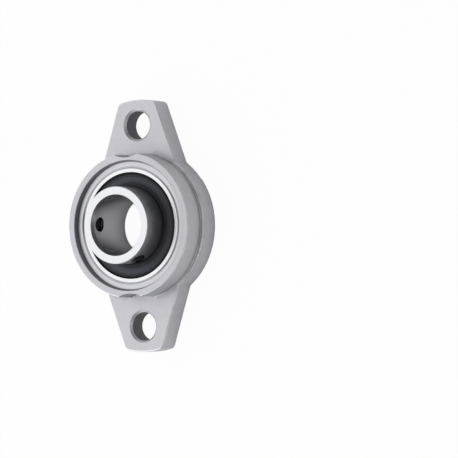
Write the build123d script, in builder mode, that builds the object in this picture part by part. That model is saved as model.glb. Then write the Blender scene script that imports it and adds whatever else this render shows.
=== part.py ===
"""Two-bolt flange bearing unit: a self-aligning ball insert in a die-cast rhomboid housing.

The origin is where the shaft axis meets the mounting face. +Z runs along the shaft, out of the
front of the unit, Y runs along the bolt line and X runs across it. Sizes are in millimetres.
"""
from build123d import *
from math import cos, radians, sin, sqrt, tan
import os

os.makedirs("parts", exist_ok=True)

# Ball insert, from the shaft outwards
shaft_radius = 10.0
inner_ring_wall = 3.5
inner_ring_length = 21.0
inner_ring_back_length = 6.0
ball_radius = 3.175
ball_count = 9
pitch_rise = 2.0
outer_land_rise = 2.1
outer_race_wall = 2.325
outer_ring_width = 12.0
race_clearance = 0.08
ring_edge = 0.3
bore_edge = 0.75
bore_lead = 1.3
collar_edge = 0.2
inner_back_edge = 0.4

# Riveted ribbon cage
cage_sheet = 0.6
cage_width = 2.4
cage_ball_clearance = 0.15
rivet_radius = 0.55
rivet_head_radius = 1.0
rivet_head_height = 0.4
rivet_head_edge = 0.2
rivet_hole_clearance = 0.03

# Rubber seals on pressed steel cores
seal_seat_width = 4.4
seal_groove_width = 0.9
seal_groove_depth = 1.35
seal_mouth_depth = 1.15
seal_fit = 0.05
seal_bead_gap = 0.55
seal_moat_depth = 0.35
seal_bead_width = 0.75
seal_bead_height = 0.35
seal_lip_gap = 0.12
seal_lip_width = 1.1
seal_lip_height = 0.25
seal_core_sheet = 0.35
seal_rim_width = 0.9

# Set screws in the collar of the inner ring
screw_radius = 2.45
screw_clearance = 0.05
screw_length = 3.5
screw_tip_inset = 0.8
screw_end_gap = 4.4
screw_point_edge = 0.6
screw_head_edge = 0.3
screw_cup_radius = 1.1
screw_cup_depth = 0.5
socket_across_flats = 2.5
socket_depth = 1.7
screw_angles = (176.0, 296.0)

# Housing flange and its two tapered lugs
bolt_spacing = 71.0
bolt_hole_radius = 5.0
bolt_front_edge = 0.8
bolt_back_edge = 1.3
flange_thickness = 8.0
lug_end = 9.0
lug_side = 10.1
lug_taper = 19.5
lug_crown = 1.1
lug_corner_radius = 2.2
lug_root_radius = 1.0
flange_ledge = 1.1
shoulder_flat = 0.5
shoulder_corner_radius = 4.0
front_edge_radius = 0.6
back_edge_radius = 0.9

# Housing boss, with the spherical seat inside it
seat_clearance = 0.05
housing_wall = 4.35
boss_draft = 0.25
boss_root_radius = 0.25
boss_edge_radius = 0.45
rim_width = 2.5
rim_edge = 0.2
recess_depth = 1.8
recess_draft = 0.4
floor_lift = 0.1
mouth_depth = 0.45
bolt_head_relief = 11.6

# Back of the housing: pocket, loading slots, relief notches and plain cast fields
pocket_depth = 2.0
pocket_rim = 3.9
pocket_lug_rim = 4.33
pocket_hole_guard = 3.15
pocket_tip_gap = 5.1
pocket_corner_radius = 1.0
pocket_shoulder_gap = 0.45
slot_relief = 1.15
slot_side_clearance = 2.3
slot_taper = 0.5
slot_angle = 135.0
notch_length = 8.0
notch_width = 3.6
notch_depth = 1.0
notch_shift = 0.4
field_length = 11.7
field_width = 3.4
field_gap = 1.35
field_depth = 0.25

# Sizes that follow from the ones above
inner_ring_radius = shaft_radius + inner_ring_wall
pitch_radius = inner_ring_radius + pitch_rise
race_radius = ball_radius + race_clearance
outer_land_radius = pitch_radius + outer_land_rise
sphere_radius = pitch_radius + ball_radius + outer_race_wall
half_width = outer_ring_width / 2
bearing_z = pocket_depth + half_width
ring_front_z = bearing_z + half_width
inner_back_z = bearing_z - inner_ring_back_length
inner_front_z = inner_back_z + inner_ring_length
screw_z = inner_front_z - screw_end_gap
inner_race_half = sqrt(race_radius**2 - pitch_rise**2)
outer_race_half = sqrt(race_radius**2 - outer_land_rise**2)
groove_radius = outer_land_radius + seal_groove_depth
mouth_radius = outer_land_radius + seal_mouth_depth
groove_end = seal_seat_width + seal_groove_width
seat_radius = sphere_radius + seat_clearance
boss_top_radius = seat_radius + housing_wall
boss_base_radius = boss_top_radius + boss_draft
floor_z = ring_front_z + floor_lift
boss_top_z = floor_z + recess_depth
recess_top_radius = boss_top_radius - rim_width
recess_floor_radius = recess_top_radius - recess_draft
body_radius = boss_base_radius + flange_ledge
shoulder_distance = body_radius - shoulder_flat
bolt_y = bolt_spacing / 2
lug_end_y = bolt_y + lug_end
ball_angles = [90.0 + 360.0 * index / ball_count for index in range(ball_count)]
rivet_angle = ball_angles[0] + 180.0 / ball_count


def flank_x(y):
    """Half-width of the tapered lug at height y, set by the wall beside its bolt hole."""
    return lug_side / cos(radians(lug_taper)) - (y - bolt_y) * tan(radians(lug_taper))


# Flange outline: a disc flattened at the two notched shoulders, with a tapered lug at each end
with BuildSketch() as flange_outline:
    Circle(body_radius)
    Rectangle(2 * shoulder_distance, 4 * body_radius, rotation=slot_angle - 90, mode=Mode.INTERSECT)
    fillet(flange_outline.vertices(), shoulder_corner_radius)
    lug_corner_y = lug_end_y - lug_crown
    with BuildLine():
        lug_end_arc = ThreePointArc(
            (-flank_x(lug_corner_y), lug_corner_y),
            (0, lug_end_y),
            (flank_x(lug_corner_y), lug_corner_y),
        )
        Polyline(
            lug_end_arc @ 1,
            (flank_x(0), 0),
            (-flank_x(0), 0),
            lug_end_arc @ 0,
        )
    make_face()
    mirror(about=Plane.XZ)
    lug_corners = flange_outline.vertices().filter_by(lambda v: abs(v.Y) > bolt_y)
    fillet(lug_corners, lug_corner_radius)
    lug_roots = flange_outline.vertices().filter_by(
        lambda v: abs(v.Y) < bolt_y and abs(abs(v.X) - flank_x(abs(v.Y))) < 0.001
    )
    fillet(lug_roots, lug_root_radius)

# Pocket outline: a rim's width inside the flange, clear of the bolt holes and of two shoulders
pocket_radius = body_radius - pocket_rim
pocket_end_y = bolt_y - pocket_tip_gap
pocket_end_x = flank_x(pocket_end_y) - pocket_lug_rim / cos(radians(lug_taper))
pocket_middle_x = flank_x(0) - pocket_lug_rim / cos(radians(lug_taper))
seat_back_radius = sqrt(seat_radius**2 - (bearing_z - pocket_depth) ** 2)
pocket_shoulder = seat_back_radius + pocket_shoulder_gap
with BuildSketch() as pocket_outline:
    Circle(pocket_radius)
    with PolarLocations(pocket_shoulder, 2, start_angle=slot_angle - 90):
        Rectangle(
            body_radius,
            2 * body_radius,
            align=(Align.MIN, Align.CENTER),
            mode=Mode.SUBTRACT,
        )
    with BuildLine():
        Polyline(
            (-pocket_middle_x, 0),
            (-pocket_end_x, pocket_end_y),
            (pocket_end_x, pocket_end_y),
            (pocket_middle_x, 0),
            (pocket_end_x, -pocket_end_y),
            (-pocket_end_x, -pocket_end_y),
            close=True,
        )
    make_face()
    with Locations((0, bolt_y), (0, -bolt_y)):
        Circle(bolt_hole_radius + pocket_hole_guard, mode=Mode.SUBTRACT)
    fillet(pocket_outline.vertices(), pocket_corner_radius)

# Housing: one casting, flange and boss together
with BuildPart() as housing:
    with BuildSketch():
        add(flange_outline.sketch)
    extrude(amount=flange_thickness)
    fillet(housing.faces().sort_by(Axis.Z)[-1].edges(), front_edge_radius)
    fillet(housing.faces().sort_by(Axis.Z)[0].edges(), back_edge_radius)

    # Drafted boss with a rounded rim and a small root radius on the flange
    with BuildSketch(Plane.XZ):
        with BuildLine():
            root_start = (boss_base_radius + boss_root_radius, flange_thickness)
            root_end = (boss_base_radius, flange_thickness + boss_root_radius)
            root = RadiusArc(root_start, root_end, boss_root_radius)
            edge_start = (boss_top_radius, boss_top_z - boss_edge_radius)
            edge_end = (boss_top_radius - boss_edge_radius, boss_top_z)
            edge = RadiusArc(edge_start, edge_end, -boss_edge_radius)
            Polyline(root @ 1, edge @ 0)
            Polyline(
                edge @ 1,
                (0, boss_top_z),
                (0, flange_thickness - front_edge_radius),
                (boss_base_radius, flange_thickness - front_edge_radius),
                (boss_base_radius, flange_thickness),
                root @ 0,
            )
        make_face()
    revolve(axis=Axis.Z)

    # Room for the bolt heads in the side of the boss
    with BuildSketch(Plane.XY.offset(flange_thickness)):
        with Locations((0, bolt_y), (0, -bolt_y)):
            Circle(bolt_head_relief)
    extrude(amount=boss_top_z, mode=Mode.SUBTRACT)

    # Pocket in the back
    with BuildSketch():
        add(pocket_outline.sketch)
    extrude(amount=pocket_depth, mode=Mode.SUBTRACT)

    # Front recess, mouth and spherical seat
    mouth_z = floor_z - mouth_depth
    mouth_seat_radius = sqrt(seat_radius**2 - (mouth_z - bearing_z) ** 2)
    with BuildSketch(Plane.XZ):
        with BuildLine():
            seat = ThreePointArc(
                (seat_back_radius, pocket_depth),
                (seat_radius, bearing_z),
                (mouth_seat_radius, mouth_z),
            )
            Polyline(
                seat @ 1,
                (mouth_seat_radius + mouth_depth, floor_z),
                (recess_floor_radius, floor_z),
                (recess_top_radius, boss_top_z - rim_edge),
                (recess_top_radius + rim_edge, boss_top_z),
                (recess_top_radius + rim_edge, boss_top_z + recess_depth),
                (0, boss_top_z + recess_depth),
                (0, -pocket_depth),
                (seat_back_radius, -pocket_depth),
                seat @ 0,
            )
        make_face()
    revolve(axis=Axis.Z, mode=Mode.SUBTRACT)

    # Two slots at the back, through which the insert goes in crosswise before it is turned square
    slot_radius = seat_radius + slot_relief
    slot_half = half_width + slot_side_clearance
    with BuildSketch():
        with PolarLocations(0, 2, start_angle=slot_angle):
            Polygon(
                (seat_back_radius / 2, -slot_half - slot_taper),
                (slot_radius, -slot_half),
                (slot_radius, slot_half),
                (seat_back_radius / 2, slot_half + slot_taper),
                align=None,
            )
        Circle(slot_radius, mode=Mode.INTERSECT)
    extrude(amount=bearing_z, mode=Mode.SUBTRACT)

    # Shallow relief notches, open to the outside, in the other two shoulders
    with BuildSketch():
        with PolarLocations(shoulder_distance, 2, start_angle=slot_angle - 90):
            with Locations((0, -notch_shift)):
                Rectangle(2 * notch_width, notch_length)
    extrude(amount=notch_depth, mode=Mode.SUBTRACT)

    # Plain sunk fields on the pocket floor, one at each end
    field_y = bolt_y - bolt_hole_radius - pocket_hole_guard - field_gap - field_width / 2
    with BuildSketch(Plane.XY.offset(pocket_depth)):
        with Locations((0, field_y), (0, -field_y)):
            Rectangle(field_length, field_width)
    extrude(amount=field_depth, mode=Mode.SUBTRACT)

    # Bolt holes, chamfered on both faces
    with BuildSketch():
        with Locations((0, bolt_y), (0, -bolt_y)):
            Circle(bolt_hole_radius)
    extrude(amount=flange_thickness, mode=Mode.SUBTRACT)
    hole_rims = housing.edges().filter_by(GeomType.CIRCLE).filter_by(
        lambda e: abs(e.radius - bolt_hole_radius) < 0.001
    )
    chamfer(hole_rims.filter_by_position(Axis.Z, -0.01, 0.01), bolt_back_edge)
    hole_rims = housing.edges().filter_by(GeomType.CIRCLE).filter_by(
        lambda e: abs(e.radius - bolt_hole_radius) < 0.001
    )
    chamfer(hole_rims.sort_by(Axis.Z)[-2:], bolt_front_edge)
housing.part.label = "housing"
export_step(housing.part, "parts/housing.step")

# Outer ring: a sphere outside, a ball track inside, and a groove for a seal at each face
with BuildPart() as outer_ring:
    with BuildSketch(Plane.XZ):
        with BuildLine():
            edge_z = half_width - ring_edge
            edge_radius = sqrt(sphere_radius**2 - edge_z**2)
            outside = ThreePointArc(
                (edge_radius, bearing_z - edge_z),
                (sphere_radius, bearing_z),
                (edge_radius, bearing_z + edge_z),
            )
            track = ThreePointArc(
                (outer_land_radius, bearing_z + outer_race_half),
                (pitch_radius + race_radius, bearing_z),
                (outer_land_radius, bearing_z - outer_race_half),
            )
            Polyline(
                outside @ 1,
                (edge_radius - ring_edge, ring_front_z),
                (mouth_radius, ring_front_z),
                (mouth_radius, bearing_z + groove_end),
                (groove_radius, bearing_z + groove_end),
                (groove_radius, bearing_z + seal_seat_width),
                (outer_land_radius, bearing_z + seal_seat_width),
                track @ 0,
            )
            Polyline(
                track @ 1,
                (outer_land_radius, bearing_z - seal_seat_width),
                (groove_radius, bearing_z - seal_seat_width),
                (groove_radius, bearing_z - groove_end),
                (mouth_radius, bearing_z - groove_end),
                (mouth_radius, bearing_z - half_width),
                (edge_radius - ring_edge, bearing_z - half_width),
                outside @ 0,
            )
        make_face()
    revolve(axis=Axis.Z)
outer_ring.part.label = "outer_ring"
export_step(outer_ring.part, "parts/outer_ring.step")

# Inner ring: extended to the front as a collar with two tapped holes for the set screws
with BuildPart() as inner_ring:
    with BuildSketch(Plane.XZ):
        with BuildLine():
            track = ThreePointArc(
                (inner_ring_radius, bearing_z - inner_race_half),
                (pitch_radius - race_radius, bearing_z),
                (inner_ring_radius, bearing_z + inner_race_half),
            )
            Polyline(
                track @ 1,
                (inner_ring_radius, inner_front_z - collar_edge),
                (inner_ring_radius - collar_edge, inner_front_z),
                (shaft_radius + bore_edge, inner_front_z),
                (shaft_radius, inner_front_z - bore_lead),
                (shaft_radius, inner_back_z + bore_lead),
                (shaft_radius + bore_edge, inner_back_z),
                (inner_ring_radius - inner_back_edge, inner_back_z),
                (inner_ring_radius, inner_back_z + inner_back_edge),
                track @ 0,
            )
        make_face()
    revolve(axis=Axis.Z)
    for angle in screw_angles:
        outward = Vector(cos(radians(angle)), sin(radians(angle)), 0)
        with BuildSketch(Plane(origin=(0, 0, screw_z), x_dir=(0, 0, 1), z_dir=outward)):
            Circle(screw_radius + screw_clearance)
        extrude(amount=2 * inner_ring_radius, mode=Mode.SUBTRACT)
inner_ring.part.label = "inner_ring"
export_step(inner_ring.part, "parts/inner_ring.step")

# Balls, evenly round the pitch circle
for index, angle in enumerate(ball_angles, start=1):
    with BuildPart() as ball:
        with Locations((pitch_radius * cos(radians(angle)), pitch_radius * sin(radians(angle)), bearing_z)):
            Sphere(ball_radius)
    ball.part.label = f"ball_{index}"
    export_step(ball.part, f"parts/ball_{index}.step")

# Cage halves: flat ribbons pressed into a half-round pocket over each ball, riveted between them
pocket_sphere = ball_radius + cage_ball_clearance
with BuildPart() as cage_front_half:
    with BuildSketch(Plane.XY.offset(bearing_z)):
        Circle(pitch_radius + cage_width / 2)
        Circle(pitch_radius - cage_width / 2, mode=Mode.SUBTRACT)
    extrude(amount=cage_sheet)
    with Locations(Plane.XY.offset(bearing_z)):
        with PolarLocations(pitch_radius, ball_count, start_angle=ball_angles[0]):
            Sphere(pocket_sphere + cage_sheet)
    with BuildSketch(Plane.XY.offset(bearing_z)):
        Circle(pitch_radius + cage_width / 2)
        Circle(pitch_radius - cage_width / 2, mode=Mode.SUBTRACT)
    extrude(amount=pocket_sphere + 2 * cage_sheet, mode=Mode.INTERSECT)
    with Locations(Plane.XY.offset(bearing_z)):
        with PolarLocations(pitch_radius, ball_count, start_angle=ball_angles[0]):
            Sphere(pocket_sphere, mode=Mode.SUBTRACT)
    with BuildSketch(Plane.XY.offset(bearing_z)):
        with PolarLocations(pitch_radius, ball_count, start_angle=rivet_angle):
            Circle(rivet_radius + rivet_hole_clearance)
    extrude(amount=cage_sheet, mode=Mode.SUBTRACT)
cage_front_half.part.label = "cage_front_half"
export_step(cage_front_half.part, "parts/cage_front_half.step")

with BuildPart() as cage_back_half:
    mirror(cage_front_half.part, about=Plane.XY.offset(bearing_z))
cage_back_half.part.label = "cage_back_half"
export_step(cage_back_half.part, "parts/cage_back_half.step")

# Rivets, headed on both sides of the ribbons
with BuildPart() as cage_rivets:
    with BuildSketch(Plane.XY.offset(bearing_z - cage_sheet - rivet_head_height)):
        with PolarLocations(pitch_radius, ball_count, start_angle=rivet_angle):
            Circle(rivet_head_radius)
    extrude(amount=rivet_head_height)
    with BuildSketch(Plane.XY.offset(bearing_z + cage_sheet)):
        with PolarLocations(pitch_radius, ball_count, start_angle=rivet_angle):
            Circle(rivet_head_radius)
    extrude(amount=rivet_head_height)
    with BuildSketch(Plane.XY.offset(bearing_z - cage_sheet)):
        with PolarLocations(pitch_radius, ball_count, start_angle=rivet_angle):
            Circle(rivet_radius)
    extrude(amount=2 * cage_sheet)
    head_rims = cage_rivets.edges().filter_by(GeomType.CIRCLE).group_by(Axis.Z)
    chamfer(head_rims[0] + head_rims[-1], rivet_head_edge)
cage_rivets.part.label = "cage_rivets"
export_step(cage_rivets.part, "parts/cage_rivets.step")

# Seals: a rubber ring with a rim in the groove, an outer bead, a thin web and a lip on the inner ring
seal_radius = groove_radius - seal_fit
seal_front = seal_seat_width + seal_groove_width - seal_fit
bead_radius = mouth_radius - seal_bead_gap
lip_radius = inner_ring_radius + seal_lip_gap
core_outer_radius = outer_land_radius + seal_rim_width - seal_core_sheet
core_inner_radius = lip_radius + seal_lip_width
with BuildPart() as front_seal:
    with BuildSketch(Plane.XZ):
        with BuildLine():
            Polyline(
                (seal_radius, bearing_z + seal_seat_width),
                (seal_radius, bearing_z + seal_front),
                (mouth_radius, bearing_z + seal_front),
                (mouth_radius, bearing_z + seal_front - seal_moat_depth),
                (bead_radius, bearing_z + seal_front - seal_moat_depth),
                (bead_radius, bearing_z + seal_front + seal_bead_height),
                (bead_radius - seal_bead_width, bearing_z + seal_front + seal_bead_height),
                (bead_radius - seal_bead_width - seal_bead_height, bearing_z + seal_front),
                (lip_radius + seal_lip_width + seal_lip_height, bearing_z + seal_front),
                (lip_radius + seal_lip_width, bearing_z + seal_front + seal_lip_height),
                (lip_radius + seal_lip_gap, bearing_z + seal_front + seal_lip_height),
                (lip_radius, bearing_z + seal_front),
                (lip_radius, bearing_z + seal_seat_width),
                (core_inner_radius, bearing_z + seal_seat_width),
                (core_inner_radius, bearing_z + seal_seat_width + seal_core_sheet),
                (core_outer_radius, bearing_z + seal_seat_width + seal_core_sheet),
                (core_outer_radius, bearing_z + seal_seat_width),
                close=True,
            )
        make_face()
    revolve(axis=Axis.Z)
front_seal.part.label = "front_seal"
export_step(front_seal.part, "parts/front_seal.step")

with BuildPart() as front_seal_core:
    with BuildSketch(Plane.XY.offset(bearing_z + seal_seat_width)):
        Circle(core_outer_radius)
        Circle(core_inner_radius, mode=Mode.SUBTRACT)
    extrude(amount=seal_core_sheet)
front_seal_core.part.label = "front_seal_core"
export_step(front_seal_core.part, "parts/front_seal_core.step")

with BuildPart() as back_seal:
    mirror(front_seal.part, about=Plane.XY.offset(bearing_z))
back_seal.part.label = "back_seal"
export_step(back_seal.part, "parts/back_seal.step")

with BuildPart() as back_seal_core:
    mirror(front_seal_core.part, about=Plane.XY.offset(bearing_z))
back_seal_core.part.label = "back_seal_core"
export_step(back_seal_core.part, "parts/back_seal_core.step")

# Set screws: cup point towards the shaft, hexagon socket outside, backed clear of the bore
for index, angle in enumerate(screw_angles, start=1):
    outward = Vector(cos(radians(angle)), sin(radians(angle)), 0)
    tip_centre = outward * (shaft_radius + screw_tip_inset) + Vector(0, 0, screw_z)
    tip = Plane(origin=tip_centre, x_dir=(0, 0, 1), z_dir=outward)
    with BuildPart() as set_screw:
        with BuildSketch(tip):
            Circle(screw_radius)
        extrude(amount=screw_length)
        rims = set_screw.edges().filter_by(GeomType.CIRCLE).sort_by(lambda e: e.center().length)
        chamfer(rims[0], screw_point_edge)
        rims = set_screw.edges().filter_by(GeomType.CIRCLE).sort_by(lambda e: e.center().length)
        chamfer(rims[-1], screw_head_edge)
        with BuildSketch(tip.offset(screw_length)):
            RegularPolygon(socket_across_flats / 2, 6, major_radius=False)
        extrude(amount=-socket_depth, mode=Mode.SUBTRACT)
        with BuildSketch(tip):
            Circle(screw_cup_radius)
        with BuildSketch(tip.offset(screw_cup_depth)):
            Circle(screw_cup_radius - screw_cup_depth)
        loft(mode=Mode.SUBTRACT)
    set_screw.part.label = f"set_screw_{index}"
    export_step(set_screw.part, f"parts/set_screw_{index}.step")
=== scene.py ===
"""Studio scene of a two-bolt flange bearing unit, seen from the front with the shaft axis turned aside.

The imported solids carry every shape. This script gives them their finishes, from node-based materials
that work in the part's own coordinates, and adds the floor, the light and the camera. The sizes that
the finishes go by are in millimetres, and those of the floor, the lamps and the camera in metres.
"""
import logging
import math
from abc import ABC, abstractmethod
from dataclasses import dataclass
from enum import Enum, IntEnum

import bpy
from mathutils import Matrix, Vector

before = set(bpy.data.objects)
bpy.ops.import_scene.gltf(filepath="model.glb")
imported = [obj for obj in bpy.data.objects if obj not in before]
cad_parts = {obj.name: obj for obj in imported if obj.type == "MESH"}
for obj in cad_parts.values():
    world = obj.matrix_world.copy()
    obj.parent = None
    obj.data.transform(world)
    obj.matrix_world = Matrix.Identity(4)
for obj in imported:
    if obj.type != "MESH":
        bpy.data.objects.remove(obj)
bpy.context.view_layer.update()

LOG = logging.getLogger("bearing_unit")
MM = 0.001
WHITE = (1.0, 1.0, 1.0, 1.0)

# Middle of a value that goes from 0 to 1, as noise and masks do.
MIDDLE = 0.5

# Sockets of the colour Mix node go by number, because their names repeat.
MIX_FACTOR, MIX_FIRST, MIX_SECOND, MIX_RESULT = 0, 6, 7, 2


class Stuff(Enum):
    """What a surface is made of, as the shader's metallic share."""

    METAL = 1.0
    OXIDE = 0.7
    PLAIN = 0.0


class Maths(Enum):
    """Operations of the Math node that the finishes use."""

    ADD = "ADD"
    SUBTRACT = "SUBTRACT"
    MULTIPLY = "MULTIPLY"
    DIVIDE = "DIVIDE"
    LESS = "LESS_THAN"
    GREATER = "GREATER_THAN"
    ABSOLUTE = "ABSOLUTE"
    ROOT = "SQRT"
    MOST = "MAXIMUM"
    LEAST = "MINIMUM"
    ZIGZAG = "PINGPONG"
    ANGLE = "ARCTAN2"


class Coords(IntEnum):
    """Outputs of the Texture Coordinate node."""

    GENERATED = 0
    NORMAL = 1
    OBJECT = 3


class Ray(IntEnum):
    """Outputs of the Light Path node."""

    CAMERA = 0
    GLOSSY = 3
    TRANSMISSION = 6


class Side(Enum):
    """The two faces of the ball insert."""

    FRONT = "front"
    BACK = "back"


@dataclass(frozen=True)
class Tone:
    """A linear colour with the spread that its mottling may take."""

    red: float
    green: float
    blue: float
    spread: float = 0.04

    def rgba(self, gain: float = 1.0) -> tuple[float, float, float, float]:
        """Colour as a socket value, with a gain on its three channels."""
        return (self.red * gain, self.green * gain, self.blue * gain, 1.0)


@dataclass(frozen=True)
class Layer:
    """One layer of noise: the size of its patches, and its weight in each channel.

    Detail is the number of octaves, and contrast the weight of the finer ones.
    """

    size: float
    detail: float = 2.0
    contrast: float = 0.5
    tint: float = 0.0
    rough: float = 0.0
    height: float = 0.0


class Wire:
    """A shader socket with arithmetic, so that node maths reads as maths."""

    def __init__(self, net: "Net", socket: bpy.types.NodeSocket) -> None:
        """Wraps a socket of a net's tree."""
        self.net = net
        self.socket = socket

    def _math(self, operation: Maths, *values: "Wire | float") -> "Wire":
        """Adds a Math node on the given values."""
        return self.net.node("ShaderNodeMath", dict(enumerate(values)), operation=operation.value)[0]

    def __add__(self, other: "Wire | float") -> "Wire":
        """Sum."""
        return self._math(Maths.ADD, self, other)

    def __radd__(self, other: float) -> "Wire":
        """Sum with a number on the left."""
        return self._math(Maths.ADD, other, self)

    def __sub__(self, other: "Wire | float") -> "Wire":
        """Difference."""
        return self._math(Maths.SUBTRACT, self, other)

    def __rsub__(self, other: float) -> "Wire":
        """Difference from a number on the left."""
        return self._math(Maths.SUBTRACT, other, self)

    def __mul__(self, other: "Wire | float") -> "Wire":
        """Product."""
        return self._math(Maths.MULTIPLY, self, other)

    def __rmul__(self, other: float) -> "Wire":
        """Product with a number on the left."""
        return self._math(Maths.MULTIPLY, other, self)

    def __truediv__(self, other: "Wire | float") -> "Wire":
        """Quotient."""
        return self._math(Maths.DIVIDE, self, other)

    def __rtruediv__(self, other: float) -> "Wire":
        """Quotient of a number on the left."""
        return self._math(Maths.DIVIDE, other, self)

    def __lt__(self, other: "Wire | float") -> "Wire":
        """One where this value is less than the other, else zero."""
        return self._math(Maths.LESS, self, other)

    def __gt__(self, other: "Wire | float") -> "Wire":
        """One where this value is greater than the other, else zero."""
        return self._math(Maths.GREATER, self, other)

    def __abs__(self) -> "Wire":
        """Size without sign."""
        return self._math(Maths.ABSOLUTE, self)

    def most(self, other: "Wire | float") -> "Wire":
        """The larger of two values."""
        return self._math(Maths.MOST, self, other)

    def clamp(self, low: float = 0.0, high: float = 1.0) -> "Wire":
        """Value kept between two limits."""
        return self._math(Maths.LEAST, self.most(low), high)

    def hypot(self, other: "Wire") -> "Wire":
        """Length of a vector with this value and the other as its sides."""
        return self._math(Maths.ROOT, self * self + other * other)

    def angle(self, other: "Wire") -> "Wire":
        """Angle in radians whose tangent is this value over the other."""
        return self._math(Maths.ANGLE, self, other)

    def wave(self, period: float) -> "Wire":
        """Triangle wave from 0 to 1 along this value."""
        return self._math(Maths.ZIGZAG, self, period / 2.0) * (2.0 / period)

    def step(self, start: float, end: float) -> "Wire":
        """Smooth step from 0 at start to 1 at end."""
        inputs = {0: self, 1: start, 2: end, 3: 0.0, 4: 1.0}
        return self.net.node("ShaderNodeMapRange", inputs, interpolation_type="SMOOTHSTEP")[0]


@dataclass(frozen=True)
class Spot:
    """Where a shaded point lies on the part: its vector, X, Y, Z and distance from the shaft axis."""

    vector: Wire
    x: Wire
    y: Wire
    z: Wire
    radius: Wire

    def turned(self, shift: float = 0.0) -> Wire:
        """Coordinates that stay the same round the shaft axis, as lathe lines do."""
        return self.vector.net.node("ShaderNodeCombineXYZ", {0: self.radius, 1: self.z, 2: shift})[0]


class Net:
    """One node tree, with a single generic way of adding nodes to it."""

    def __init__(self, tree: bpy.types.NodeTree, keep: bool = False) -> None:
        """Takes a tree, and empties it unless its nodes are kept.

        Args:
            tree: Node tree of a material or a world.
            keep: Whether the nodes already there stay.
        """
        self.tree = tree
        if not keep:
            tree.nodes.clear()

    def node(
        self, kind: str, inputs: "dict[int | str, object] | None" = None, **settings: object
    ) -> list[Wire]:
        """Adds a node, sets its properties and fills its inputs.

        Args:
            kind: Node type, such as ShaderNodeMath.
            inputs: Values or wires by input index or name.
            **settings: Properties of the node itself.

        Returns:
            The node's outputs.
        """
        made = self.tree.nodes.new(kind)
        for name, value in settings.items():
            setattr(made, name, value)
        for key, value in (inputs or {}).items():
            if isinstance(value, Wire):
                self.tree.links.new(value.socket, made.inputs[key])
            else:
                made.inputs[key].default_value = value
        return [Wire(self, socket) for socket in made.outputs]

    def spot(self) -> Spot:
        """Reads the part's own coordinates.

        Returns:
            The shaded point, in millimetres.
        """
        place = self.node("ShaderNodeTexCoord")[Coords.OBJECT]
        scaled = self.node("ShaderNodeVectorMath", {0: place, "Scale": 1.0 / MM}, operation="SCALE")[0]
        x, y, z = self.node("ShaderNodeSeparateXYZ", {0: scaled})
        return Spot(scaled, x, y, z, x.hypot(y))

    def noise(self, vector: Wire, layer: Layer, unit: float = 1.0) -> Wire:
        """Noise centred on zero.

        Args:
            vector: Where to read it, in millimetres.
            layer: Size and detail of the noise.
            unit: Length that the layer's size is a multiple of, in millimetres.

        Returns:
            A value of about -0.5 to 0.5.
        """
        scale = 1.0 / (layer.size * unit)
        inputs = {"Vector": vector, "Scale": scale, "Detail": layer.detail, "Roughness": layer.contrast}
        return self.node("ShaderNodeTexNoise", inputs)[0] - MIDDLE

    def mix(self, share: Wire, first: object, second: object) -> Wire:
        """Colour that goes from the first to the second as the share goes from 0 to 1."""
        inputs = {MIX_FACTOR: share, MIX_FIRST: first, MIX_SECOND: second}
        return self.node("ShaderNodeMix", inputs, data_type="RGBA")[MIX_RESULT]

    def tint(self, tone: Tone, shade: Wire) -> Wire:
        """The tone, darkened or lightened by a value centred on zero."""
        low, high = tone.rgba(1.0 - tone.spread), tone.rgba(1.0 + tone.spread)
        return self.mix((shade + MIDDLE).clamp(), low, high)

    def bump(self, height: Wire, depth: float, **more: object) -> Wire:
        """Normal bent by a height of one unit per depth, in millimetres."""
        return self.node("ShaderNodeBump", {"Height": height, "Distance": depth * MM, **more})[0]


@dataclass(frozen=True)
class Channels:
    """What varies over a surface."""

    colour: Wire
    roughness: Wire
    normal: Wire


@dataclass(frozen=True)
class Crease:
    """A ring where shade is painted and dirt gathers: its radius and height, and the share and width of the
    painted shade and dirt.
    """

    radius: float
    height: float
    share: float
    width: float = 0.42
    core: float = 0.05

    def shade_and_dirt(self, across: Wire, z: Wire) -> Wire:
        """Share of painted shade and dirt, full in the crease's core and none beyond its width."""
        away = (across - self.radius).hypot(z - self.height)
        return (1.0 - away.step(self.core, self.width)) * self.share


@dataclass(frozen=True)
class Thread:
    """Thread about an axis that points away from the shaft, for a tapped hole or the screw in it.

    The angle is the axis' direction about Z, in degrees, and the height is its Z.
    """

    angle: float
    height: float = 18.6
    pitch: float = 0.8
    inner_end: float = 5.0

    # Turns added so that the place along the thread is never negative.
    spare_turns: float = 50.0

    def lines(self, spot: Spot) -> tuple[Wire, Wire, Wire]:
        """Works out the thread at a point.

        Args:
            spot: The shaded point.

        Returns:
            The distance from the thread's axis, one on the axis' own side of the shaft, and the
            thread's height from 0 to 1.
        """
        across, up = math.cos(math.radians(self.angle)), math.sin(math.radians(self.angle))
        along = spot.x * across + spot.y * up
        aside = spot.y * across - spot.x * up
        above = spot.z - self.height
        turn = above.angle(aside) * (self.pitch / (2.0 * math.pi))
        ridge = (along + turn + self.spare_turns * self.pitch).wave(self.pitch)
        return aside.hypot(above), along > self.inner_end, ridge


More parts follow.
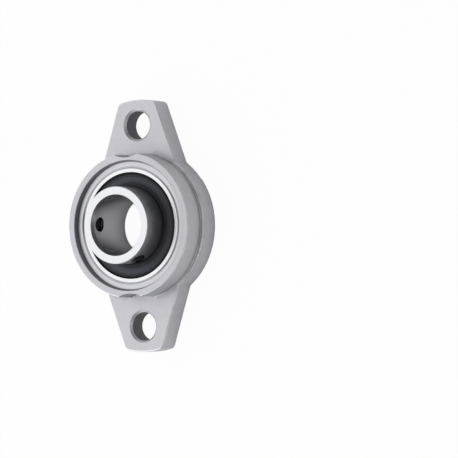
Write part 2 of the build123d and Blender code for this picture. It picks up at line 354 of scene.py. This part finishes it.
@dataclass(frozen=True, kw_only=True)
class Finish(ABC):
    """A named surface finish that becomes one material."""

    name: str
    tone: Tone
    stuff: Stuff = Stuff.PLAIN
    roughness: float = 0.5
    spread: float = 0.1
    least_rough: float = 0.05
    sheen: tuple[float, float, float, float] = WHITE

    @abstractmethod
    def surface(self, net: Net) -> Channels:
        """Builds what varies over the surface.

        Args:
            net: The material's node tree.

        Returns:
            Base colour, roughness and normal.
        """

    def material(self) -> bpy.types.Material:
        """Makes the material.

        Returns:
            A node-based material with one Principled shader.
        """
        made = bpy.data.materials.new(self.name)
        made.use_nodes = True
        net = Net(made.node_tree)
        varying = self.surface(net)
        inputs = {
            "Base Color": varying.colour,
            "Roughness": varying.roughness,
            "Metallic": self.stuff.value,
            "Specular Tint": self.sheen,
            "Normal": varying.normal,
        }
        net.node("ShaderNodeOutputMaterial", {0: net.node("ShaderNodeBsdfPrincipled", inputs)[0]})
        return made


@dataclass(frozen=True, kw_only=True)
class CastFinish(Finish):
    """Shot-blasted die casting: a fine even grain over slow waves, with a few pits.

    In the machined recess the grain gives way to lathe lines. Painted shade darkens the cored holes, the
    recess and relief walls, and the creases, where some dirt gathers too; the rounded edges get wear and a
    painted highlight.
    """

    housing: "Housing"

    # Layers of the cast skin, and of the lathe lines, whose coarse ones are that many times the size.
    grain: Layer = Layer(0.22, detail=3.0, contrast=0.6, tint=0.9)
    grain_depth: float = 0.035
    flow: Layer = Layer(7.0, detail=3.0, contrast=0.55, tint=1.2, rough=1.0)
    cloud: Layer = Layer(1.6, tint=0.8, rough=1.0, height=0.5)
    pits: Layer = Layer(0.5, detail=1.0, tint=-2.0, height=-1.5)
    pit_level: float = 0.2
    lathe: Layer = Layer(0.3, tint=0.8, height=0.15)
    lathe_coarse: float = 3.0

    # How much of the skin the machining took off, and how much smoother it left the recess.
    grain_turned_off: float = 0.92
    cast_turned_off: float = 0.9
    turned_polish: float = 0.2

    # Shares of painted shade on the recess wall, the relief walls and the cored holes, the most painted
    # shade and dirt that any spot has, and the skin that counts as a relief's wall.
    wall_painted_shade: float = 0.62
    relief_painted_shade: float = 0.38
    cored_painted_shade: float = 0.7
    most_shade_and_dirt: float = 0.75
    shade_and_dirt_gain: float = 0.1
    relief_skin: float = 0.08

    # Tilts at which an edge starts and ends. Its wear and painted highlight are a base, and weights of the
    # flow and the cloud.
    edge_tilts: tuple[float, float, float, float] = (0.15, 0.45, 0.86, 0.985)
    edge_wear_and_highlight: tuple[float, float, float] = (0.85, 1.6, 0.8)
    edge_share: float = 0.85
    wear_and_highlight_gain: float = 1.6
    edge_polish: float = 0.08

    def surface(self, net: Net) -> Channels:
        """Builds the casting's grain, lathe lines, painted shade with some dirt, and edges with wear and a
        painted highlight.

        Args:
            net: The material's node tree.

        Returns:
            Base colour, roughness and normal.
        """
        spot = net.spot()
        flow, cloud = net.noise(spot.vector, self.flow), net.noise(spot.vector, self.cloud)
        pits = (net.noise(spot.vector, self.pits) - self.pit_level).clamp()
        turned = (spot.radius < self.housing.recess_radius) * (spot.z > self.housing.recess_start)
        wall = turned * (spot.radius > self.housing.recess_wall_start)
        lines = turned * (
            net.noise(spot.turned(), self.lathe)
            + net.noise(spot.turned(self.lathe_coarse), self.lathe, self.lathe_coarse)
        )
        grain = net.noise(spot.vector, self.grain) * (1.0 - turned * self.grain_turned_off)

        shade = flow * self.flow.tint + cloud * self.cloud.tint + pits * self.pits.tint
        shade = shade + grain * self.grain.tint + lines * self.lathe.tint
        wear_and_highlight = self._edges(net, spot) * self._wear_and_highlight(flow, cloud) * self.edge_share
        # Painted shade darkens the holes, the recess and relief walls and the creases; the creases hold
        # some dirt too.
        shade_and_dirt = (self._shade_and_dirt(spot) + wall * self.wall_painted_shade).clamp(0.0, self.most_shade_and_dirt)
        colour = net.mix(shade_and_dirt, net.tint(self.tone, shade), self.tone.rgba(self.shade_and_dirt_gain))
        # Wear and a painted highlight brighten the rounded edges.
        colour = net.mix(wear_and_highlight, colour, self.tone.rgba(self.wear_and_highlight_gain))

        rough = (cloud * self.cloud.rough + flow * self.flow.rough) * self.spread + self.roughness
        rough = rough - (turned - wall) * self.turned_polish - wear_and_highlight * self.edge_polish
        cast = (cloud * self.cloud.height + pits * self.pits.height) * (1.0 - turned * self.cast_turned_off)
        height = grain + cast + lines * self.lathe.height
        return Channels(colour, rough.clamp(self.least_rough), net.bump(height, self.grain_depth))

    def _shade_and_dirt(self, spot: Spot) -> Wire:
        """Painted shade in the cored holes, on the relief walls and in the creases, with some dirt in the
        creases.

        Args:
            spot: The shaded point.

        Returns:
            Share of painted shade and dirt, which may pass one.
        """
        sizes = self.housing
        from_bolt = spot.x.hypot(abs(spot.y) - sizes.bolt_y)
        on_relief = abs(from_bolt - sizes.relief_radius) < self.relief_skin
        uncut = 1.0 - (from_bolt < sizes.relief_radius + sizes.relief_margin)
        shade_and_dirt = (from_bolt < sizes.bolt_hole_radius) * self.cored_painted_shade
        shade_and_dirt = on_relief * (spot.z > sizes.relief_wall_start) * self.relief_painted_shade + shade_and_dirt
        shade_and_dirt = sizes.recess_crease.shade_and_dirt(spot.radius, spot.z) + shade_and_dirt
        for crease in sizes.boss_creases:
            shade_and_dirt = crease.shade_and_dirt(spot.radius, spot.z) * uncut + shade_and_dirt
        on_boss = spot.radius < sizes.boss_creases[0].radius
        return sizes.relief_crease.shade_and_dirt(from_bolt, spot.z) * on_boss + shade_and_dirt

    def _edges(self, net: Net, spot: Spot) -> Wire:
        """Finds the rounded edges, which face neither along the shaft nor straight away from it.

        Args:
            net: The material's node tree.
            spot: The shaded point.

        Returns:
            One on the edges outside the machined recess, else zero.
        """
        normal = net.node("ShaderNodeTexCoord")[Coords.NORMAL]
        tilt = abs(net.node("ShaderNodeSeparateXYZ", {0: normal})[2])
        low_start, low_end, high_start, high_end = self.edge_tilts
        rounded = tilt.step(low_start, low_end) * (1.0 - tilt.step(high_start, high_end))
        return rounded * (spot.radius > self.housing.recess_radius)

    def _wear_and_highlight(self, flow: Wire, cloud: Wire) -> Wire:
        """How much wear and painted highlight an edge gets, which the slow waves make uneven."""
        base, by_flow, by_cloud = self.edge_wear_and_highlight
        return (flow * by_flow + cloud * by_cloud + base).clamp()


@dataclass(frozen=True, kw_only=True)
class TurnedFinish(Finish):
    """Ground or turned steel: fine lines that run round the shaft axis, with faint handling marks.

    The fine and coarse layers' sizes are multiples of the line.
    """

    line: float = 0.09
    line_depth: float = 0.004
    fine: Layer = Layer(1.0, detail=4.0, contrast=0.65, tint=0.6, rough=1.0)
    coarse: Layer = Layer(8.0, detail=1.0, tint=0.4, height=0.6)
    smudge: Layer = Layer(4.0, detail=3.0, contrast=0.6, tint=0.6, rough=1.2)
    least_rough: float = 0.03

    def surface(self, net: Net) -> Channels:
        """Builds the lines and the smudges.

        Args:
            net: The material's node tree.

        Returns:
            Base colour, roughness and normal.
        """
        spot = net.spot()
        rings = spot.turned()
        fine, coarse = net.noise(rings, self.fine, self.line), net.noise(rings, self.coarse, self.line)
        smudge = net.noise(spot.vector, self.smudge)
        shade = fine * self.fine.tint + coarse * self.coarse.tint + smudge * self.smudge.tint
        rough = (fine * self.fine.rough + smudge * self.smudge.rough) * self.spread + self.roughness
        normal = net.bump(fine + coarse * self.coarse.height, self.line_depth)
        return Channels(net.tint(self.tone, shade), rough.clamp(self.least_rough), normal)


@dataclass(frozen=True, kw_only=True)
class CollarFinish(TurnedFinish):
    """Turned steel with a bright face, a honed bore, and threads in the tapped holes; painted shade darkens
    the bore, the flank and the holes.
    """

    insert: "Insert"

    # Shares of the face's brightness that the bore and the flank keep under their painted shade, and how
    # rough each place is.
    bore_share: float = 0.62
    bore_polish: float = 0.05
    lead_roughness: float = 0.22
    flank_share: float = 0.93
    flank_roughness: float = 0.11
    hole_shade: float = 0.84
    hole_roughness: float = 0.2
    thread_depth: float = 0.22

    def surface(self, net: Net) -> Channels:
        """Adds the bore, the collar's flank and the threads to the turned steel, with painted shade on the
        bore, the flank and the tapped holes.

        Args:
            net: The material's node tree.

        Returns:
            Base colour, roughness and normal.
        """
        steel = super().surface(net)
        spot = net.spot()
        height: Wire | float = 0.0
        hole: Wire | float = 0.0
        for thread in self.insert.threads:
            reach, own_side, ridge = thread.lines(spot)
            mask = (reach < self.insert.hole_radius) * own_side
            height = ridge * mask + height
            hole = mask + hole
        bore = spot.radius < self.insert.bore_radius
        lead = bore * (spot.radius > self.insert.lead_radius)
        flank = spot.radius > self.insert.flank_radius

        # Painted shade: the bore, the flank and the tapped holes are made darker.
        painted_shade = bore * (1.0 - self.bore_share) + flank * (1.0 - self.flank_share)
        colour = net.mix(painted_shade.most(hole * self.hole_shade), steel.colour, self.tone.rgba(0.0))
        rough = steel.roughness + flank * self.flank_roughness + lead * self.lead_roughness
        rough = rough + hole * self.hole_roughness - bore * self.bore_polish
        normal = net.bump(height, self.thread_depth, Normal=steel.normal)
        return Channels(colour, rough.clamp(self.least_rough), normal)


@dataclass(frozen=True, kw_only=True)
class ScrewFinish(Finish):
    """Black-oxide steel with the thread on its flank, painted shade in its grooves and a painted highlight
    on its crests, and a film of oil rubbed thin in places.
    """

    thread: Thread
    flank_radius: float
    thread_depth: float = 0.3
    thread_tint: float = 0.8
    film: Layer = Layer(0.7, detail=3.0, contrast=0.6, tint=0.9, rough=1.0)
    grain: Layer = Layer(0.12, height=0.04)

    def surface(self, net: Net) -> Channels:
        """Builds the thread with its painted shade and highlight, the oil film and the fine grain.

        Args:
            net: The material's node tree.

        Returns:
            Base colour, roughness and normal.
        """
        spot = net.spot()
        reach, _, ridge = self.thread.lines(spot)
        flank = reach > self.flank_radius
        film, grain = net.noise(spot.vector, self.film), net.noise(spot.vector, self.grain)
        # Painted shade and highlight: the thread is darker in its grooves and lighter on its crests.
        shade = film * self.film.tint + flank * (ridge - MIDDLE) * self.thread_tint
        rough = (film * self.film.rough) * self.spread + self.roughness
        normal = net.bump(flank * ridge + grain * self.grain.height, self.thread_depth)
        return Channels(net.tint(self.tone, shade), rough.clamp(self.least_rough), normal)


@dataclass(frozen=True, kw_only=True)
class RubberFinish(Finish):
    """Moulded nitrile rubber: satin, with faint mould rings, a dusting of bloom, and painted shade at both
    rims.
    """

    insert: "Insert"
    rings: Layer = Layer(0.35, tint=0.5, rough=0.08, height=0.8)
    grain: Layer = Layer(0.15)
    grain_depth: float = 0.012
    bloom: Layer = Layer(2.6, detail=4.0, contrast=0.6, tint=1.4, rough=1.0)
    rim_shade: float = 0.8
    lip_shade: float = 0.7
    rim_and_lip_roughness: float = 0.4
    least_rough: float = 0.1

    def surface(self, net: Net) -> Channels:
        """Builds the mould rings, the bloom and the painted shade at the rims.

        Args:
            net: The material's node tree.

        Returns:
            Base colour, roughness and normal.
        """
        spot = net.spot()
        rings = net.noise(spot.turned(), self.rings)
        grain, bloom = net.noise(spot.vector, self.grain), net.noise(spot.vector, self.bloom)
        # Painted shade makes the seal darker next to the collar and at its outer rim.
        rim_and_lip_shade = (1.0 - spot.radius.step(*self.insert.seal_lip)) * self.lip_shade
        rim_and_lip_shade = spot.radius.step(*self.insert.seal_rim) * self.rim_shade + rim_and_lip_shade
        colour = net.tint(self.tone, bloom * self.bloom.tint + rings * self.rings.tint)
        colour = net.mix(rim_and_lip_shade, colour, self.tone.rgba(0.0))
        rough = bloom * self.bloom.rough * self.spread + rings * self.rings.rough
        rough = rough + rim_and_lip_shade * self.rim_and_lip_roughness + self.roughness
        normal = net.bump(grain + rings * self.rings.height, self.grain_depth)
        return Channels(colour, rough.clamp(self.least_rough), normal)


@dataclass(frozen=True, kw_only=True)
class PaperFinish(Finish):
    """Matt floor that shows as white, and still takes a share of its shade from the light.

    The mirrored shares say how white polished steel sees it: through the bore, and beyond the part at
    its ends and at its side. The bore's share fades between the first two radii, and the others come in
    between the last two. Near and under the part the mirrored white is a painted shadow, and the side's
    larger share than the ends' is painted light.
    """

    tooth: Layer = Layer(0.5, rough=0.02)
    tooth_depth: float = 0.01
    tooth_strength: float = 0.2
    white_seen: float = 0.96
    mirrored_bore: float = 0.34
    mirrored_ends: float = 0.22
    mirrored_side: float = 0.31
    shade_radii: tuple[float, float, float, float] = (2.0, 10.0, 26.0, 30.5)
    centre_radius: float = 0.001

    def surface(self, net: Net) -> Channels:
        """Builds the paper's tooth.

        Args:
            net: The material's node tree.

        Returns:
            Base colour, roughness and normal.
        """
        tooth = net.noise(net.spot().vector, self.tooth)
        rough = tooth * self.tooth.rough + self.roughness
        return Channels(
            net.tint(self.tone, tooth),
            rough,
            net.bump(tooth, self.tooth_depth, Strength=self.tooth_strength),
        )

    def material(self) -> bpy.types.Material:
        """Makes the floor's material, with white mixed in for what is seen directly or mirrored.

        Returns:
            A node-based material with the white mixed over its Principled shader.
        """
        made = super().material()
        net = Net(made.node_tree, keep=True)
        output = next(n for n in made.node_tree.nodes if n.bl_idname == "ShaderNodeOutputMaterial")
        lit = Wire(net, output.inputs[0].links[0].from_socket)
        path = net.node("ShaderNodeLightPath")
        direct = (path[Ray.CAMERA] + path[Ray.TRANSMISSION]).clamp()
        mirror = (path[Ray.GLOSSY] - direct).clamp()
        seen = direct * self.white_seen + mirror * self._mirrored(net.spot())
        white = net.node("ShaderNodeEmission", {"Color": WHITE, "Strength": 1.0})[0]
        mixed = net.node("ShaderNodeMixShader", {0: seen, 1: lit, 2: white})[0]
        made.node_tree.links.new(mixed.socket, output.inputs[0])
        return made

    def _mirrored(self, spot: Spot) -> Wire:
        """How white the floor is for a mirror, with a painted shadow near and under the part and painted
        light at its side.

        Args:
            spot: The point of the floor.

        Returns:
            Share of white.
        """
        # Painted shadow: no mirrored white near the part and less near the bore wall; painted light: more
        # white at the side.
        bore_start, bore_end, open_start, open_end = self.shade_radii
        aside = (spot.x / spot.radius.most(self.centre_radius)).clamp()
        beyond = aside * (self.mirrored_side - self.mirrored_ends) + self.mirrored_ends
        through = (1.0 - spot.radius.step(bore_start, bore_end)) * self.mirrored_bore
        return spot.radius.step(open_start, open_end) * beyond + through


# Finishes that need none of the part's sizes.
RING_STEEL = TurnedFinish(
    name="ring_steel",
    tone=Tone(0.80, 0.80, 0.83, spread=0.05),
    stuff=Stuff.METAL,
    roughness=0.24,
    spread=0.08,
)
BALL_STEEL = TurnedFinish(
    name="ball_steel",
    tone=Tone(0.88, 0.88, 0.89, spread=0.02),
    stuff=Stuff.METAL,
    roughness=0.07,
    spread=0.03,
    line=0.05,
    line_depth=0.001,
)
PRESSED_STEEL = TurnedFinish(
    name="pressed_steel",
    tone=Tone(0.56, 0.56, 0.57, spread=0.08),
    stuff=Stuff.METAL,
    roughness=0.34,
    spread=0.1,
    line=0.2,
)
FLOOR_PAPER = PaperFinish(name="floor_paper", tone=Tone(0.93, 0.93, 0.93, spread=0.01), roughness=0.9)

# The tapped holes of the collar and the set screws in them share these threads.
SCREW_THREADS = (Thread(176.0), Thread(296.0))


@dataclass
class SubAssembly(ABC):
    """Solids of the part that belong together, with the sizes that their finishes go by."""

    @abstractmethod
    def finishes(self) -> dict[str, Finish]:
        """Chooses the finishes.

        Returns:
            The finish of each solid, by the solid's name.
        """

    def dress(
        self, nodes: dict[str, bpy.types.Object], made: dict[str, bpy.types.Material]
    ) -> dict[str, str]:
        """Puts the finishes on the solids.

        Args:
            nodes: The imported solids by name.
            made: Materials already made, by finish name, to which the new ones are added.

        Returns:
            The name of each solid's finish, by the solid's name.
        """
        dressed = {}
        for name, finish in self.finishes().items():
            if finish.name not in made:
                made[finish.name] = finish.material()
            for slot in nodes[name].material_slots:
                slot.material = made[finish.name]
            dressed[name] = finish.name
        return dressed


@dataclass
class Housing(SubAssembly):
    """The die-cast flange and boss.

    The recess is the machined mouth in front of the insert, and the reliefs clear the bolt heads.
    """

    recess_radius: float = 22.95
    recess_wall_start: float = 22.45
    recess_start: float = 13.0
    # Creases where the casting gets painted shade, with some dirt.
    recess_crease: Crease = Crease(22.5, 14.1, share=0.5)
    boss_creases: tuple[Crease, ...] = (
        Crease(25.75, 8.1, share=0.22),
        Crease(25.75, 8.1, share=0.2, width=2.4),
    )
    bolt_y: float = 35.5
    bolt_hole_radius: float = 5.05
    relief_radius: float = 11.6
    relief_margin: float = 0.05
    relief_wall_start: float = 8.1
    relief_crease: Crease = Crease(11.6, 8.0, share=0.5)

    def finishes(self) -> dict[str, Finish]:
        """Chooses the casting's finish.

        Returns:
            The finish of the one solid, by its name.
        """
        cast = CastFinish(
            name="cast_zinc",
            tone=Tone(0.58, 0.58, 0.616, spread=0.09),
            stuff=Stuff.METAL,
            roughness=0.52,
            spread=0.10,
            housing=self,
        )
        return {"housing": cast}


@dataclass
class Insert(SubAssembly):
    """Rings and seals of the ball insert.

    Inside the bore radius is the bore, with its lead chamfer beyond the lead radius, and outside the
    flank radius is the collar's outer side. A seal's painted shade fades out over its lip, and in over its
    rim.
    """

    bore_radius: float = 10.74
    lead_radius: float = 10.03
    flank_radius: float = 13.35
    hole_radius: float = 2.56
    threads: tuple[Thread, ...] = SCREW_THREADS
    seal_lip: tuple[float, float] = (13.9, 16.2)
    seal_rim: tuple[float, float] = (17.35, 17.85)

    def finishes(self) -> dict[str, Finish]:
        """Chooses the finishes of the rings, the seals and their cores.

        Returns:
            The finish of each solid, by the solid's name.
        """
        collar = CollarFinish(
            name="collar_steel",
            tone=Tone(0.77, 0.775, 0.81, spread=0.05),
            stuff=Stuff.METAL,
            roughness=0.22,
            spread=0.08,
            insert=self,
        )
        rubber = RubberFinish(
            name="seal_rubber",
            tone=Tone(0.047, 0.048, 0.062, spread=0.25),
            roughness=0.46,
            spread=0.12,
            sheen=(0.86, 0.87, 1.0, 1.0),
            insert=self,
        )
        chosen: dict[str, Finish] = {"outer_ring": RING_STEEL, "inner_ring": collar}
        for side in Side:
            chosen[f"{side.value}_seal"] = rubber
            chosen[f"{side.value}_seal_core"] = PRESSED_STEEL
        return chosen


@dataclass
class BallSet(SubAssembly):
    """Balls in their riveted cage."""

    count: int = 9

    def finishes(self) -> dict[str, Finish]:
        """Chooses the finishes of the balls and the cage.

        Returns:
            The finish of each solid, by the solid's name.
        """
        chosen: dict[str, Finish] = {f"ball_{index}": BALL_STEEL for index in range(1, self.count + 1)}
        for side in Side:
            chosen[f"cage_{side.value}_half"] = PRESSED_STEEL
        chosen["cage_rivets"] = PRESSED_STEEL
        return chosen


@dataclass
class SetScrews(SubAssembly):
    """The socket set screws, whose threads lie outside the flank radius."""

    threads: tuple[Thread, ...] = SCREW_THREADS
    flank_radius: float = 2.2

    def finishes(self) -> dict[str, Finish]:
        """Chooses a finish for each screw, with the thread about its own axis.

        Returns:
            The finish of each screw, by the screw's name.
        """
        chosen: dict[str, Finish] = {}
        for index, thread in enumerate(self.threads, start=1):
            chosen[f"set_screw_{index}"] = ScrewFinish(
                name=f"black_oxide_{index}",
                tone=Tone(0.030, 0.030, 0.034, spread=0.3),
                stuff=Stuff.OXIDE,
                roughness=0.36,
                spread=0.12,
                thread=thread,
                flank_radius=self.flank_radius,
            )
        return chosen


@dataclass(frozen=True)
class Softbox:
    """A square lamp that points at the part."""

    name: str
    direction: tuple[float, float, float]
    distance: float
    size: float
    radiance: float

    def build(self, target: Vector) -> bpy.types.Object:
        """Adds the lamp.

        Args:
            target: Point that it faces, in metres.

        Returns:
            The lamp object.
        """
        data = bpy.data.lights.new(self.name, "AREA")
        data.shape = "SQUARE"
        data.size = self.size
        data.energy = self.radiance * math.pi * self.size**2
        lamp = bpy.data.objects.new(self.name, data)
        out = Vector(self.direction).normalized()
        lamp.location = target + out * self.distance
        lamp.rotation_euler = out.to_track_quat("Z", "Y").to_euler()
        bpy.context.scene.collection.objects.link(lamp)
        return lamp


@dataclass(frozen=True)
class Glow:
    """A soft patch of the dome: where it lies, its level, and the cosines where it starts and is full."""

    towards: tuple[float, float, float]
    level: float
    start: float
    full: float

    def shine(self, net: Net, way: Wire) -> Wire:
        """Works out the patch's brightness.

        Args:
            net: The world's node tree.
            way: Direction of the world.

        Returns:
            The level in the patch, fading to zero round it.
        """
        towards = tuple(Vector(self.towards).normalized())
        facing = net.node("ShaderNodeVectorMath", {0: way, 1: towards}, operation="DOT_PRODUCT")[1]
        return facing.step(self.start, self.full) * self.level


@dataclass
class Studio:
    """Pale floor, a dim dome with two soft patches, and softboxes."""

    floor_size: float = 8.0
    floor_gap: float = 0.00002
    dome_low: float = 0.06
    glows: tuple[Glow, ...] = (
        Glow((-0.74, 0.04, 0.67), level=1.06, start=0.08, full=0.85),
        Glow((0.66, -0.12, 0.75), level=0.34, start=0.72, full=0.98),
    )
    lamps: tuple[Softbox, ...] = (
        Softbox("key", (-0.85, -1.0, 0.65), distance=0.9, size=0.5, radiance=1.6),
        Softbox("fill", (0.9, -0.45, 0.18), distance=0.9, size=0.35, radiance=0.9),
    )
    aim: tuple[float, float, float] = (0.0, 0.0, 0.01)

    def build(self) -> list[str]:
        """Adds the floor, the world and the lamps, and gives their names."""
        added = [self._floor().name, self._world().name]
        return added + [lamp.build(Vector(self.aim)).name for lamp in self.lamps]

    def _floor(self) -> bpy.types.Object:
        """Adds a plane just under the mounting face.

        Returns:
            The floor object.
        """
        half = self.floor_size / 2
        corners = [(-half, -half), (half, -half), (half, half), (-half, half)]
        mesh = bpy.data.meshes.new("studio_floor")
        mesh.from_pydata([(x, y, -self.floor_gap) for x, y in corners], [], [(0, 1, 2, 3)])
        mesh.materials.append(FLOOR_PAPER.material())
        floor = bpy.data.objects.new("studio_floor", mesh)
        bpy.context.scene.collection.objects.link(floor)
        return floor

    def _world(self) -> bpy.types.World:
        """Fills the world with the dome, whose brightness follows the direction.

        Returns:
            The world.
        """
        world = bpy.data.worlds.new("studio_dome")
        bpy.context.scene.world = world
        world.use_nodes = True
        net = Net(world.node_tree)
        way = net.node("ShaderNodeTexCoord")[Coords.GENERATED]
        level: Wire | float = self.dome_low
        for glow in self.glows:
            level = glow.shine(net, way) + level
        background = net.node("ShaderNodeBackground", {"Color": WHITE, "Strength": level})[0]
        net.node("ShaderNodeOutputWorld", {0: background})
        return world


@dataclass(frozen=True)
class PhotoCamera:
    """Camera at the photograph's viewing angle, as a turn about the part's own axes.

    Azimuth and elevation turn the view off the shaft axis, roll turns the picture, and the origin falls
    on the given pixel at the given distance.
    """

    azimuth: float = 32.95
    elevation: float = -1.97
    roll: float = -1.81
    distance: float = 1.0
    focal_px: float = 2818.9
    origin_px: tuple[float, float] = (153.02, 225.95)
    frame_px: float = 458.0
    sensor_mm: float = 36.0
    clip: tuple[float, float] = (0.01, 50.0)

    def build(self) -> bpy.types.Object:
        """Adds the camera and makes it the scene's own.

        Returns:
            The camera object.
        """
        data = bpy.data.cameras.new("photo_camera")
        data.sensor_width = self.sensor_mm
        data.lens = self.focal_px / self.frame_px * self.sensor_mm
        data.clip_start, data.clip_end = self.clip
        camera = bpy.data.objects.new("photo_camera", data)
        camera.matrix_world = self._place()
        bpy.context.scene.collection.objects.link(camera)
        bpy.context.scene.camera = camera
        return camera

    def _place(self) -> Matrix:
        """Works out where the camera stands.

        Returns:
            The camera's turn and place in the part's frame.
        """
        az, el, roll = (math.radians(v) for v in (self.azimuth, self.elevation, self.roll))
        back = Vector((math.sin(az) * math.cos(el), math.sin(el), math.cos(az) * math.cos(el)))
        level = Vector((math.cos(az), 0.0, -math.sin(az)))
        raised = back.cross(level)
        right = math.cos(roll) * level + math.sin(roll) * raised
        up = math.cos(roll) * raised - math.sin(roll) * level
        per_px = self.distance / self.focal_px
        aside = (self.origin_px[0] - self.frame_px / 2) * per_px
        above = (self.frame_px / 2 - self.origin_px[1]) * per_px
        turn = Matrix((right, up, back)).transposed().to_4x4()
        return Matrix.Translation(back * self.distance - right * aside - up * above) @ turn


def main() -> None:
    """Dresses the part, builds the studio round it and reports each piece."""
    logging.basicConfig(level=logging.INFO, format="%(name)s: %(message)s")
    made: dict[str, bpy.types.Material] = {}
    for group in (Housing(), Insert(), BallSet(), SetScrews()):
        for piece, finish in group.dress(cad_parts, made).items():
            LOG.info("%s, in %s: %s", piece, type(group).__name__, finish)
    for piece in Studio().build():
        LOG.info("%s, in Studio", piece)
    LOG.info("%s, the scene's camera", PhotoCamera().build().name)
    bpy.context.scene.view_settings.view_transform = "Standard"


if __name__ == "__main__":
    main()
